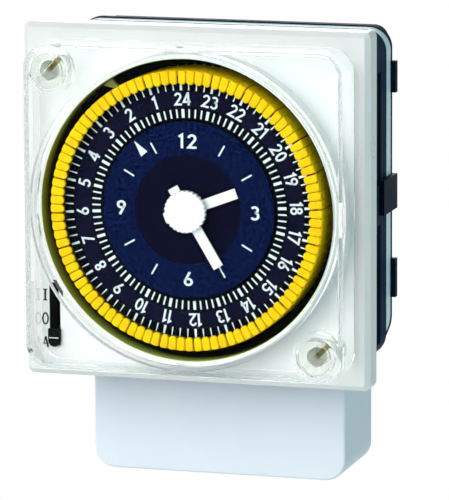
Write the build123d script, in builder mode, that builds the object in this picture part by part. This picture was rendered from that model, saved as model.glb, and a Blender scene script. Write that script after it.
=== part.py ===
from build123d import *
from math import cos, pi, radians, sin, sqrt
import os

os.makedirs("parts", exist_ok=True)

# A 24-hour time switch with a 72 mm square front, a clear cover and a terminal cover below.
# X is to the right, Z is up and Y goes into the wall. The origin is the centre of the rail seat.
# An "out" value is a distance in front of the rail seat, towards the viewer.
# Angles on the dial are in degrees, clockwise from the top as the viewer sees it.

# Depths, from the wall to the clear cover
rail_seat_depth = 5.0
base_depth = 6.7
flange_depth = 1.35
housing_depth = 3.25
case_depth = 18.9
plate_depth = 4.55
plate_bevel = 1.0
collar_rise = 5.4
cover_rise = 9.65

base_back = -rail_seat_depth
flange_back = base_back + base_depth
housing_back = flange_back + flange_depth
case_back = housing_back + housing_depth
plate_back = case_back + case_depth
plate_edge = plate_back + plate_depth
plate_face = plate_edge + plate_bevel
collar_rim = plate_face + collar_rise
cover_face = plate_face + cover_rise

# Outlines of the housings
plate_size = 72.0
plate_corner = 1.3
body_width = 66.0
body_height = 67.0
body_corner = 4.5
rear_lower_corner = 8.0
case_wall = 1.5
flange_height = 67.6
base_width = 61.0
base_height = 66.0
base_corner = 3.0
housing_floor = 1.3

# Rail channel and wall screws
rail_height = 35.0
rail_lip = 1.2
rail_hook = 1.7
rail_clearance = 0.2
wall_screw_radius = 2.1
wall_screw_spacing = 40.0
wall_screw_drop = 53.0

# Snap hooks on the sides of the base: middle height, height, reach past the flange
hook_thickness = 1.1
hook_short_reach = 0.15
hook_long_reach = 9.0
side_hooks = (
    (23.5, 6.4, hook_short_reach),
    (0.0, 7.1, hook_long_reach),
    (-17.9, 8.0, hook_short_reach),
)

# Shallow grip recesses in the sides of the case
recess_depth = 0.6
recess_front_land = 2.0
recess_back_land = 4.5
recess_spans = ((2.6, 25.6), (-30.0, -5.6))

# Dial well and collar
well_radius = 30.44
collar_radius = 31.5
collar_edge = 0.35

# Clear cover and its two screws: the wall is thinnest at its foot and gains by the draft inside
cover_size = 66.0
cover_corner = 5.0
cover_wall = 0.5
cover_draft = 4.0
cover_glass = 1.3
cover_edge = 0.9
cover_ring_inner = 31.0
cover_ring_outer = 32.15
cover_ring_gap = 0.3
cover_screw_place = 27.6
screw_head_radius = 3.7
screw_head_depth = 2.0
screw_head_proud = 0.25
screw_edge = 0.3
screw_shank_radius = 2.0
screw_boss_wall = 1.1
screw_boss_floor = 1.2
screw_grip = 2.8
screw_slot_width = 1.0
screw_slot_depth = 1.0
running_clearance = 0.08
screw_clearance = 0.2

# Movement frames and the train between them
frame_thickness = 1.5
frame_gap = 0.2
train_depth = 8.0
rear_frame_thickness = 1.2
rear_frame_width = 49.0
rear_frame_height = 49.0
rear_frame_rise = 1.0
pillar_radius = 1.5
pillar_places = ((22.0, -18.0), (22.0, 22.0), (-22.0, -18.0), (-6.0, 23.0))
wheel_thickness = 1.4
first_layer_gap = 0.6
layer_pitch = 2.3

front_frame_back = plate_back - frame_thickness
rear_frame_front = front_frame_back - train_depth
rear_frame_back = rear_frame_front - rear_frame_thickness
centre_layer = rear_frame_front + first_layer_gap
minute_layer = centre_layer + layer_pitch
hour_layer = minute_layer + layer_pitch

# Gears: tooth counts, and shares of the module for the tooth form
gear_addendum = 0.9
gear_dedendum = 1.2
tooth_tip_share = 0.2
tooth_root_share = 0.55
train_module = 0.5
minute_pinion_teeth = 10
motion_wheel_teeth = 30
motion_pinion_teeth = 8
hour_wheel_teeth = 32
transfer_wheel_teeth = 32
transfer_pinion_teeth = 24
drum_wheel_teeth = 48
centre_wheel_teeth = 48
motor_pinion_teeth = 12

motion_distance = train_module * (minute_pinion_teeth + motion_wheel_teeth) / 2
transfer_distance = train_module * (hour_wheel_teeth + transfer_wheel_teeth) / 2
motor_distance = train_module * (centre_wheel_teeth + motor_pinion_teeth) / 2
drum_module = 2 * transfer_distance / (drum_wheel_teeth + transfer_pinion_teeth)

# Arbors and tubes
arbor_radius = 0.8
hour_tube_wall = 0.6
centre_tube_wall = 0.98
stud_radius = 0.95
stud_flange_radius = 2.2
stud_flange_depth = 0.9
transfer_arbor_radius = 0.9
seat_clearance = 0.03
hour_tube_bore = arbor_radius + running_clearance
hour_tube_radius = hour_tube_bore + hour_tube_wall
centre_tube_bore = hour_tube_radius + running_clearance
centre_tube_radius = centre_tube_bore + centre_tube_wall
centre_tube_flange = 1.4
drum_bore = centre_tube_radius + running_clearance

# Drum with its 96 trippers
drum_gap = 0.4
drum_wheel_depth = 1.2
drum_hub_wall = 1.9
drum_web = 1.4
drum_flange_radius = 29.8
drum_skirt_radius = 25.2
drum_skirt_wall = 1.7
dial_inner_radius = 18.1
dial_radius = 25.85
dial_band_inner = 24.05
dial_band_rise = 0.4
dial_depth = 1.2
dial_setback = 1.48
dial_turn = -3.2
hours = 24
trippers_per_hour = 4
tripper_pitch = 360 / (hours * trippers_per_hour)
tripper_inner = 25.5
tripper_outer = 28.24
tripper_gap = 0.14
tripper_hour_gap = 0.33
tripper_chamfer = 0.18
tripper_corner = 0.4
tripper_stand_out = 1.0
tripper_lip_depth = 0.5
tripper_travel = 1.1
tripper_lift = 0.15
tripper_stem_length = 1.14
tongue_width = 0.45
tongue_length = 1.25
tongue_clearance = 0.2
catch_width = 1.0
catch_depth = 0.7

drum_back = plate_back + drum_gap
web_back = drum_back + drum_wheel_depth
web_front = web_back + drum_web
dial_face = collar_rim - dial_setback
tripper_front = collar_rim + tripper_stand_out
lip_back = tripper_front - tripper_lip_depth
stem_back = web_front + tripper_lift
tongue_inner = tripper_outer - tongue_length

# Fixed clock face and the hands
face_radius = 17.78
face_depth = 1.2
face_setback = 0.8
face_centre_radius = 11.03
face_centre_recess = 0.25
hand_depth = 0.35
hand_gap = 0.3
hand_width = 2.1
hand_eye_radius = 3.0
hour_hand_reach = 10.9
hour_hand_tail = 5.0
hour_hand_turn = 69.0
minute_hand_reach = 12.9
minute_hand_tail = 5.4
minute_hand_turn = 149.0
hub_radius = 4.25
hub_depth = 1.0
hub_notches = 28
hub_notch_width = 0.4
hub_notch_depth = 0.22

clock_face_front = collar_rim - face_setback
clock_face_back = clock_face_front - face_depth
hour_hand_back = clock_face_front + hand_gap
minute_hand_back = hour_hand_back + hand_depth + hand_gap
hub_back = minute_hand_back + hand_depth
hub_front = hub_back + hub_depth

# Motor, microswitch and the feeler that reads the trippers
motor_radius = 13.0
motor_depth = 9.4
motor_shaft_radius = 0.75
motor_boss_radius = 3.0
switch_width = 9.5
switch_height = 18.0
switch_depth = 6.4
switch_left = -21.8
switch_bottom = 9.5
plunger_height = 2.6
plunger_depth = 1.8
plunger_length = 5.0
plunger_proud = 0.8
plunger_travel = 0.7
plunger_clearance = 0.15
feeler_pivot = (-23.4, 23.4)
feeler_shaft_radius = 1.1
feeler_arm_width = 2.4
feeler_nose_turn = -36.0
feeler_nose_radius = tripper_outer + 0.2
feeler_nose_half_width = 0.5
feeler_depth = 1.2
feeler_tail = 4.5
feeler_room = 0.35
feeler_skin = 0.7
feeler_front = plate_face - feeler_skin - feeler_room
feeler_back = feeler_front - feeler_depth

# Manual lever: knob at A, the lowest of three places, with I at the top
lever_x = -29.75
lever_z = -28.2
lever_step = 4.8
lever_slot_width = 2.3
lever_knob_width = 2.6
lever_knob_height = 3.7
lever_knob_rise = 0.8
lever_knob_lift = 0.15
lever_stem_width = 1.7
lever_stem_height = 2.2
lever_bar_width = 2.0
lever_bar_depth = 1.6
lever_bar_top = 9.0
lever_bar_gap = 0.3
lever_finger_height = 1.6
lever_finger_chamfer = 0.6
lever_travel = 2 * lever_step

# Terminals and their cover
terminal_cover_width = 53.6
terminal_cover_front = 15.35
terminal_cover_bottom = -58.3
terminal_cover_wall = 1.5
terminal_cover_corner = 4.3
terminal_cover_edge = 0.6
terminal_cover_gap = 0.15
cable_gap_width = 30.0
cable_gap_depth = 9.0
cable_gap_back = 0.5
tongue_plate_width = 50.0
tongue_plate_depth = 2.5
tongue_plate_set_in = 1.5
tongue_plate_bottom = -56.5
block_width = 49.0
block_depth = 13.0
block_bottom = -49.0
block_gap = 0.4
terminal_count = 5
terminal_pitch = 9.75
clamp_width = 5.6
clamp_height = 6.8
clamp_depth = 6.2
clamp_wall = 1.0
clamp_clearance = 0.2
clamp_rise = 2.2
terminal_screw_head = 2.5
terminal_screw_head_depth = 1.8
terminal_screw_radius = 1.6
terminal_screw_recess = 0.6

# Conductor strips from the switch and the motor to the terminals
strip_width = 1.8
strip_depth = 0.6
strip_out = 10.7
strip_room = 0.4
strip_jog = 1.6
switch_tabs = ((-19.5, 25.0), (-16.5, 18.0), (-13.5, 11.5))
strip_turns = (-30.5, -28.0, -25.5)

# Case screws, from behind through the case bosses into the plate
case_screw_x = 25.0
case_screw_z = 29.2
case_screw_radius = 1.3
case_screw_head = 2.6
case_screw_head_depth = 1.6
case_screw_grip = 2.6
case_boss_width = 5.2
case_pad_width = 8.0

# Rail latch, a flat slide in the back of the base
latch_width = 10.0
latch_shoe_width = 13.0
latch_shoe_depth = 0.9
latch_depth = 2.4
latch_set_in = 0.3
latch_bite = 1.5
latch_clearance = 0.3
latch_tail = 2.0
latch_eye_width = 5.0
latch_eye_height = 2.0
latch_nose = 0.8


def plane_at(out):
    """A plane parallel to the wall, facing the viewer, with X to the right and Z up."""
    return Plane.XZ.offset(out)


def on_dial(radius, turn):
    """X and Z of a point on the dial."""
    return (radius * sin(radians(turn)), radius * cos(radians(turn)))


def plane_turn(turn):
    """A dial angle as an angle in a plane from plane_at."""
    return 90 - turn


def save(piece, name):
    """Label a finished piece and write it."""
    piece.label = name
    export_step(piece, f"parts/{name}.step")


def wheel_outline(teeth, module, first_tooth, bore):
    """Draw a clock wheel with one tooth at first_tooth, in plane degrees, and a bore."""
    pitch_radius = teeth * module / 2
    root_radius = pitch_radius - gear_dedendum * module
    tip_radius = pitch_radius + gear_addendum * module
    half_step = pi * module / 2
    root_half = half_step * tooth_root_share
    tip_half = half_step * tooth_tip_share
    tooth_foot = sqrt(root_radius**2 - root_half**2) - module / 10
    Circle(root_radius)
    with PolarLocations(0, teeth, start_angle=first_tooth):
        Polygon(
            (tooth_foot, -root_half),
            (tip_radius, -tip_half),
            (tip_radius, tip_half),
            (tooth_foot, root_half),
            align=None,
        )
    if bore > 0:
        Circle(bore, mode=Mode.SUBTRACT)


def half_tooth(teeth):
    """Half of the angle from one tooth to the next."""
    return 180 / teeth


# Back base: black moulding with the rail channel, side hooks and a tongue under the terminals
tongue_plate_back = base_back + tongue_plate_set_in
tongue_plate_front = tongue_plate_back + tongue_plate_depth
hood_inner_corner = terminal_cover_corner - terminal_cover_wall
channel_half = rail_height / 2 + rail_clearance
latch_groove_floor = base_back + latch_set_in + latch_depth + latch_clearance
latch_shoe_back = base_back + latch_set_in + latch_depth - latch_shoe_depth
with BuildPart() as back_base:
    with BuildSketch(plane_at(base_back)):
        RectangleRounded(base_width, base_height, base_corner)
    extrude(amount=base_depth)
    with BuildSketch(plane_at(flange_back)) as flange_outline:
        Rectangle(body_width, flange_height)
        fillet(flange_outline.vertices().group_by(Axis.Y)[-1], radius=body_corner)
        fillet(flange_outline.vertices().group_by(Axis.Y)[0], radius=rear_lower_corner)
    extrude(amount=flange_depth)
    with BuildSketch(plane_at(tongue_plate_back)) as tongue_outline:
        with Locations((0, tongue_plate_bottom)):
            Rectangle(
                tongue_plate_width,
                -tongue_plate_bottom - base_height / 2 + base_corner,
                align=(Align.CENTER, Align.MIN),
            )
        fillet(tongue_outline.vertices().group_by(Axis.Y)[0], radius=hood_inner_corner)
    extrude(amount=tongue_plate_depth)
    for hook_middle, hook_height, hook_reach in side_hooks:
        with BuildSketch(plane_at(flange_back)):
            for side in (-1, 1):
                with Locations((side * (body_width + hook_thickness) / 2, hook_middle)):
                    Rectangle(hook_thickness, hook_height)
        extrude(amount=flange_depth + hook_reach)
    # Rail channel: a mouth, and a higher pocket behind the fixed upper lip
    with BuildSketch(plane_at(base_back)):
        with Locations((0, -channel_half)):
            Rectangle(
                base_width * 2,
                2 * channel_half - rail_hook,
                align=(Align.CENTER, Align.MIN),
            )
    extrude(amount=rail_seat_depth, mode=Mode.SUBTRACT)
    with BuildSketch(plane_at(-rail_lip)):
        Rectangle(base_width * 2, 2 * channel_half)
    extrude(amount=rail_lip, mode=Mode.SUBTRACT)
    # Stepped groove for the rail latch
    with BuildSketch(plane_at(base_back)):
        with Locations((0, -channel_half)):
            Rectangle(
                latch_width + 2 * latch_clearance,
                base_height,
                align=(Align.CENTER, Align.MAX),
            )
    extrude(amount=latch_groove_floor - base_back, mode=Mode.SUBTRACT)
    with BuildSketch(plane_at(latch_shoe_back - latch_clearance)):
        with Locations((0, -channel_half)):
            Rectangle(
                latch_shoe_width + 2 * latch_clearance,
                base_height,
                align=(Align.CENTER, Align.MAX),
            )
    extrude(amount=latch_shoe_depth + 2 * latch_clearance, mode=Mode.SUBTRACT)
    with BuildSketch(plane_at(tongue_plate_back)):
        for side in (-1, 1):
            with Locations((side * wall_screw_spacing / 2, -wall_screw_drop)):
                Circle(wall_screw_radius)
    extrude(amount=tongue_plate_depth, mode=Mode.SUBTRACT)
save(back_base.part, "back_base")

# Rail latch: grips the rail's lower edge and is pulled down with a screwdriver in its eye
latch_top = -rail_height / 2 + latch_bite
latch_bottom = terminal_cover_bottom - latch_tail
latch_travel = latch_bite + 2.0
latch_shoe_top = -channel_half - latch_clearance
with BuildPart() as rail_latch:
    with BuildSketch(plane_at(base_back + latch_set_in)):
        with Locations((0, latch_bottom)):
            Rectangle(latch_width, latch_top - latch_bottom, align=(Align.CENTER, Align.MIN))
    extrude(amount=latch_depth)
    with BuildSketch(plane_at(latch_shoe_back)):
        with Locations((0, latch_shoe_top)):
            Rectangle(
                latch_shoe_width,
                base_height / 2 - channel_half - latch_travel,
                align=(Align.CENTER, Align.MAX),
            )
    extrude(amount=latch_shoe_depth)
    nose_edge = rail_latch.faces().sort_by(Axis.Z)[-1].edges().sort_by(Axis.Y)[-1]
    chamfer(nose_edge, length=latch_nose)
    with BuildSketch(plane_at(base_back + latch_set_in)):
        with Locations((0, latch_bottom + latch_eye_height)):
            SlotOverall(latch_eye_width, latch_eye_height)
    extrude(amount=latch_depth, mode=Mode.SUBTRACT)
save(rail_latch.part, "rail_latch")

# Rear housing: light grey tray that closes the case from behind
case_screw_spots = [
    (x_side * case_screw_x, z_side * case_screw_z) for x_side in (-1, 1) for z_side in (-1, 1)
]
with BuildPart() as rear_housing:
    with BuildSketch(plane_at(housing_back)) as housing_outline:
        Rectangle(body_width, body_height)
        fillet(housing_outline.vertices().group_by(Axis.Y)[-1], radius=body_corner)
        fillet(housing_outline.vertices().group_by(Axis.Y)[0], radius=rear_lower_corner)
    extrude(amount=housing_depth)
    with BuildSketch(plane_at(housing_back + housing_floor)) as tray_outline:
        Rectangle(body_width - 2 * case_wall, body_height - 2 * case_wall)
        fillet(tray_outline.vertices().group_by(Axis.Y)[-1], radius=body_corner - case_wall)
        fillet(tray_outline.vertices().group_by(Axis.Y)[0], radius=rear_lower_corner - case_wall)
        with Locations(*case_screw_spots):
            Rectangle(case_pad_width, case_pad_width, mode=Mode.SUBTRACT)
    extrude(amount=housing_depth, mode=Mode.SUBTRACT)
    with BuildSketch(plane_at(housing_back)):
        with Locations(*case_screw_spots):
            Circle(case_screw_head + screw_clearance)
    extrude(amount=housing_depth, mode=Mode.SUBTRACT)
save(rear_housing.part, "rear_housing")

# Movement case: navy frame with four screw bosses that carry the movement
terminal_places = [
    (number - (terminal_count - 1) / 2) * terminal_pitch for number in range(terminal_count)
]
recess_span = case_depth - recess_front_land - recess_back_land
with BuildPart() as movement_case:
    with BuildSketch(plane_at(case_back)):
        RectangleRounded(body_width, body_height, body_corner)
        RectangleRounded(
            body_width - 2 * case_wall,
            body_height - 2 * case_wall,
            body_corner - case_wall,
            mode=Mode.SUBTRACT,
        )
    extrude(amount=case_depth)
    with BuildSketch(plane_at(case_back)):
        for spot_x, spot_z in case_screw_spots:
            boss_top = body_height / 2 - case_wall / 2
            boss_end = abs(spot_z) - case_boss_width / 2
            with Locations((spot_x, (boss_top + boss_end) / 2 * spot_z / abs(spot_z))):
                Rectangle(case_boss_width, boss_top - boss_end)
        with Locations(*case_screw_spots):
            Circle(case_screw_radius + screw_clearance, mode=Mode.SUBTRACT)
    extrude(amount=front_frame_back - case_back)
    for recess_low, recess_high in recess_spans:
        with BuildSketch(plane_at(case_back + recess_back_land)):
            for side in (-1, 1):
                with Locations((side * body_width / 2, (recess_low + recess_high) / 2)):
                    Rectangle(2 * recess_depth, recess_high - recess_low)
        extrude(amount=recess_span, mode=Mode.SUBTRACT)
    # Slots in the lower wall for the conductor strips
    with BuildSketch(plane_at(strip_out - strip_room)):
        for terminal_x in terminal_places:
            with Locations((terminal_x, -body_height / 2)):
                Rectangle(strip_width + 2 * strip_room, 3 * case_wall)
    extrude(amount=strip_depth + 2 * strip_room, mode=Mode.SUBTRACT)
save(movement_case.part, "movement_case")

# Case screws: four, in one group
with BuildPart() as case_screws:
    with BuildSketch(plane_at(case_back - case_screw_head_depth)):
        with Locations(*case_screw_spots):
            Circle(case_screw_head)
    extrude(amount=case_screw_head_depth)
    with BuildSketch(plane_at(case_back)):
        with Locations(*case_screw_spots):
            Circle(case_screw_radius)
    extrude(amount=plate_back + case_screw_grip - case_back)
save(case_screws.part, "case_screws")

# Front plate: white square with a bevelled edge, the dial well, its collar and the lever slot
lever_slot_bottom = lever_z - lever_knob_height / 2 + lever_knob_lift
lever_slot_top = lever_z + lever_travel + lever_knob_height / 2
cover_screw_spots = [(-cover_screw_place, cover_screw_place), (cover_screw_place, -cover_screw_place)]
nose_x, nose_z = on_dial(feeler_nose_radius, feeler_nose_turn)
nose_root_x, nose_root_z = on_dial(collar_radius + feeler_arm_width / 2, feeler_nose_turn)
with BuildPart() as front_plate:
    with BuildSketch(plane_at(plate_back)):
        RectangleRounded(plate_size, plate_size, plate_corner)
    extrude(amount=plate_face - plate_back)
    chamfer(front_plate.faces().sort_by(Axis.Y)[0].edges(), length=plate_bevel)
    with BuildSketch(plane_at(plate_face)):
        Circle(collar_radius)
    extrude(amount=collar_rise)
    chamfer(front_plate.faces().sort_by(Axis.Y)[0].edges(), length=collar_edge)
    with BuildSketch(plane_at(plate_back)):
        Circle(well_radius)
    extrude(amount=plate_face - plate_back + collar_rise, mode=Mode.SUBTRACT)
    with BuildSketch(plane_at(plate_back)):
        with Locations((lever_x, (lever_slot_bottom + lever_slot_top) / 2)):
            Rectangle(lever_slot_width, lever_slot_top - lever_slot_bottom)
    extrude(amount=plate_face - plate_back, mode=Mode.SUBTRACT)
    with BuildSketch(plane_at(plate_face - screw_grip)):
        with Locations(*cover_screw_spots):
            Circle(screw_shank_radius + running_clearance)
    extrude(amount=screw_grip, mode=Mode.SUBTRACT)
    with BuildSketch(plane_at(plate_back)):
        with Locations(*case_screw_spots):
            Circle(case_screw_radius)
    extrude(amount=case_screw_grip + screw_clearance, mode=Mode.SUBTRACT)
    # Pocket behind the face for the feeler, open to the well through a window in its wall
    with BuildSketch(plane_at(plate_back)):
        with Locations(feeler_pivot):
            Circle(feeler_arm_width / 2 + 2 * feeler_room)
        with BuildLine():
            Polyline(
                (feeler_pivot[0], feeler_pivot[1] + feeler_arm_width / 2 + 2 * feeler_room),
                (nose_root_x + feeler_arm_width / 2, nose_root_z + feeler_arm_width),
                (nose_x + feeler_arm_width, nose_z + feeler_room),
                (nose_x, nose_z - feeler_arm_width),
                (nose_x - feeler_arm_width, nose_z - feeler_arm_width),
                (feeler_pivot[0], feeler_pivot[1] - feeler_arm_width / 2 - 2 * feeler_room),
                close=True,
            )
        make_face()
    extrude(amount=feeler_front + feeler_room - plate_back, mode=Mode.SUBTRACT)
save(front_plate.part, "front_plate")

# Clear cover: a square glazing with rounded corners, a ring over the collar and two screw seats
cover_ring_back = collar_rim + cover_ring_gap
screw_seat = cover_face + screw_head_proud - screw_head_depth
cover_inner = cover_size - 2 * cover_wall
with BuildPart() as clear_cover:
    with BuildSketch(plane_at(plate_face)):
        RectangleRounded(cover_size, cover_size, cover_corner)
    extrude(amount=cover_rise)
    fillet(clear_cover.faces().sort_by(Axis.Y)[0].edges(), radius=cover_edge)
    with BuildSketch(plane_at(plate_face)):
        RectangleRounded(cover_inner, cover_inner, cover_corner - cover_wall)
    extrude(amount=cover_rise - cover_glass, taper=cover_draft, mode=Mode.SUBTRACT)
    with BuildSketch(plane_at(cover_ring_back)):
        Circle(cover_ring_outer)
        Circle(cover_ring_inner, mode=Mode.SUBTRACT)
    extrude(amount=cover_face - cover_glass - cover_ring_back)
    with BuildSketch(plane_at(screw_seat - screw_boss_floor)):
        with Locations(*cover_screw_spots):
            Circle(screw_head_radius + screw_clearance + screw_boss_wall)
    extrude(amount=cover_face - cover_glass - screw_seat + screw_boss_floor)
    with BuildSketch(plane_at(screw_seat - screw_boss_floor)):
        with Locations(*cover_screw_spots):
            Circle(screw_shank_radius + screw_clearance)
    extrude(amount=cover_rise, mode=Mode.SUBTRACT)
    with BuildSketch(plane_at(screw_seat)):
        with Locations(*cover_screw_spots):
            Circle(screw_head_radius + screw_clearance)
    extrude(amount=cover_rise, mode=Mode.SUBTRACT)
save(clear_cover.part, "clear_cover")

# Cover screws: clear, slotted, with a shank that reaches into the plate
for screw_name, screw_spot in zip(("cover_screw_left", "cover_screw_right"), cover_screw_spots):
    with BuildPart() as cover_screw:
        with BuildSketch(plane_at(plate_face - screw_grip + screw_clearance)):
            with Locations(screw_spot):
                Circle(screw_shank_radius)
        extrude(amount=screw_seat - plate_face + screw_grip - screw_clearance)
        with BuildSketch(plane_at(screw_seat)):
            with Locations(screw_spot):
                Circle(screw_head_radius)
        extrude(amount=screw_head_depth)
        head_edge = cover_screw.faces().sort_by(Axis.Y)[0].edges()
        chamfer(head_edge, length=screw_edge)
        with BuildSketch(plane_at(screw_seat + screw_head_depth - screw_slot_depth)):
            with Locations(Location((screw_spot[0], screw_spot[1], 0), (0, 0, 45))):
                Rectangle(2.4 * screw_head_radius, screw_slot_width)
        extrude(amount=screw_slot_depth, mode=Mode.SUBTRACT)
    save(cover_screw.part, screw_name)

# Front frame: the movement's main plate, seated on the case bosses, behind the dial well
motion_place = on_dial(motion_distance, -90)
transfer_place = on_dial(transfer_distance, 45)
motor_place = on_dial(motor_distance, 135)
frame_width = body_width - 2 * case_wall - 2 * frame_gap
frame_height = body_height - 2 * case_wall - 2 * frame_gap
with BuildPart() as front_frame:
    with BuildSketch(plane_at(front_frame_back)):
        RectangleRounded(frame_width, frame_height, body_corner - case_wall)
        Circle(centre_tube_radius + seat_clearance, mode=Mode.SUBTRACT)
        with Locations(transfer_place):
            Circle(transfer_arbor_radius + running_clearance, mode=Mode.SUBTRACT)
        with Locations(feeler_pivot):
            Circle(feeler_shaft_radius + running_clearance, mode=Mode.SUBTRACT)
        with Locations(*case_screw_spots):
            Circle(case_screw_radius + screw_clearance, mode=Mode.SUBTRACT)
        with Locations((lever_x, (lever_slot_bottom + lever_slot_top) / 2)):
            Rectangle(
                lever_slot_width, lever_slot_top - lever_slot_bottom, mode=Mode.SUBTRACT
            )
    extrude(amount=frame_thickness)
save(front_frame.part, "front_frame")

# Rear frame: carries the back pivots, the motor and the switch
tab_left = min(tab_x for tab_x, tab_z in switch_tabs) - strip_width
tab_right = max(tab_x for tab_x, tab_z in switch_tabs) + strip_width
tab_low = min(tab_z for tab_x, tab_z in switch_tabs) - strip_width
tab_high = max(tab_z for tab_x, tab_z in switch_tabs) + strip_width
with BuildPart() as rear_frame:
    with BuildSketch(plane_at(rear_frame_back)):
        with Locations((0, rear_frame_rise)):
            RectangleRounded(rear_frame_width, rear_frame_height, body_corner)
        Circle(arbor_radius + running_clearance, mode=Mode.SUBTRACT)
        with Locations(transfer_place):
            Circle(transfer_arbor_radius + running_clearance, mode=Mode.SUBTRACT)
        with Locations(motor_place):
            Circle(motor_boss_radius + screw_clearance, mode=Mode.SUBTRACT)
        for tab_x, tab_z in switch_tabs:
            with Locations((tab_x, tab_z)):
                Rectangle(
                    strip_width + 2 * strip_room,
                    strip_width + 2 * strip_room,
                    mode=Mode.SUBTRACT,
                )
    extrude(amount=rear_frame_thickness)
save(rear_frame.part, "rear_frame")

# Frame pillars: four spacers between the two frames
with BuildPart() as frame_pillars:
    with BuildSketch(plane_at(rear_frame_front)):
        with Locations(*pillar_places):
            Circle(pillar_radius)
    extrude(amount=train_depth)
save(frame_pillars.part, "frame_pillars")

# Centre tube: fixed in the front frame, it carries the drum outside and the clock face in front
with BuildPart() as centre_tube:
    with BuildSketch(plane_at(front_frame_back)):
        Circle(centre_tube_radius)
    extrude(amount=clock_face_back - front_frame_back)
    with BuildSketch(plane_at(plate_back)):
        Circle(centre_tube_radius + centre_tube_flange)
    extrude(amount=drum_gap / 2)
    with BuildSketch(plane_at(clock_face_back)):
        Circle(centre_tube_radius - centre_tube_wall / 2)
    extrude(amount=face_depth - face_centre_recess)
    with BuildSketch(plane_at(front_frame_back)):
        Circle(centre_tube_bore)
    extrude(amount=clock_face_front - front_frame_back, mode=Mode.SUBTRACT)
save(centre_tube.part, "centre_tube")

# Clock face: fixed disc with a shallow recess round the hands
with BuildPart() as clock_face:
    with BuildSketch(plane_at(clock_face_back)):
        Circle(face_radius)
        Circle(centre_tube_radius - centre_tube_wall / 2 + seat_clearance, mode=Mode.SUBTRACT)
    extrude(amount=face_depth)
    with BuildSketch(plane_at(clock_face_front - face_centre_recess)):
        Circle(face_centre_radius)
    extrude(amount=face_centre_recess, mode=Mode.SUBTRACT)
save(clock_face.part, "clock_face")

# Dial drum: hub, slotted web, skirt and the 24-hour dial ring, moulded with its wheel
slot_inner = tongue_inner - tripper_travel - tongue_clearance
slot_outer = tongue_inner + tongue_length + tongue_clearance
tripper_turns = [
    dial_turn - (number + 0.5) * tripper_pitch for number in range(hours * trippers_per_hour)
]
with BuildPart() as dial_drum:
    with BuildSketch(plane_at(drum_back)):
        wheel_outline(
            drum_wheel_teeth, drum_module, plane_turn(45) + half_tooth(drum_wheel_teeth), 0
        )
    extrude(amount=drum_wheel_depth)
    with BuildSketch(plane_at(web_back)):
        Circle(drum_flange_radius)
        with PolarLocations(
            (slot_inner + slot_outer) / 2,
            hours * trippers_per_hour,
            start_angle=plane_turn(tripper_turns[0]),
        ):
            Rectangle(
                slot_outer - slot_inner, tongue_width + 2 * tongue_clearance, mode=Mode.SUBTRACT
            )
    extrude(amount=drum_web)
    with BuildSketch(plane_at(web_front)):
        Circle(drum_skirt_radius)
        Circle(drum_skirt_radius - drum_skirt_wall, mode=Mode.SUBTRACT)
    extrude(amount=dial_face - web_front)
    with BuildSketch(plane_at(dial_face - dial_depth)):
        Circle(dial_radius)
        Circle(dial_inner_radius, mode=Mode.SUBTRACT)
    extrude(amount=dial_depth)
    # The outer band of the dial is a step higher and runs under the tripper lips
    with BuildSketch(plane_at(dial_face)):
        Circle(dial_radius)
        Circle(dial_band_inner, mode=Mode.SUBTRACT)
    extrude(amount=dial_band_rise)
    with BuildSketch(plane_at(web_front)):
        Circle(drum_bore + drum_hub_wall)
    extrude(amount=clock_face_back - drum_gap - web_front)
    with BuildSketch(plane_at(drum_back)):
        Circle(drum_bore)
    extrude(amount=clock_face_back - drum_back, mode=Mode.SUBTRACT)
save(dial_drum.part, "dial_drum")

# Trippers: four for each hour, each a lip on a stem, held in its slot by a tongue and a catch
catch_front = web_back - tripper_lift
tongue_middle = tongue_inner + tongue_length / 2


def tripper_half_width(radius):
    """Half the width of one tripper's wedge between its two gaps, at a radius on the dial."""
    return radius * sin(radians(tripper_pitch / 2)) - tripper_gap / 2


def tripper_outline(inner_radius):
    """Draw one tripper's wedge between two gaps, from inner_radius to the tripper's outer end."""
    inner_half = tripper_half_width(inner_radius)
    outer_half = tripper_half_width(tripper_outer)
    Polygon(
        (inner_radius, -inner_half),
        (tripper_outer, -outer_half),
        (tripper_outer, outer_half),
        (inner_radius, inner_half),
        align=None,
    )


def lip_outline():
    """Draw one tripper's lip: the wedge with its four corners cut, so that the row looks scalloped."""
    inner_side = tripper_inner + tripper_corner
    outer_side = tripper_outer - tripper_corner
    inner_half = tripper_half_width(tripper_inner) - tripper_corner
    outer_half = tripper_half_width(tripper_outer) - tripper_corner
    Polygon(
        (tripper_inner, -inner_half),
        (inner_side, -tripper_half_width(inner_side)),
        (outer_side, -tripper_half_width(outer_side)),
        (tripper_outer, -outer_half),
        (tripper_outer, outer_half),
        (outer_side, tripper_half_width(outer_side)),
        (inner_side, tripper_half_width(inner_side)),
        (tripper_inner, inner_half),
        align=None,
    )


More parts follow.
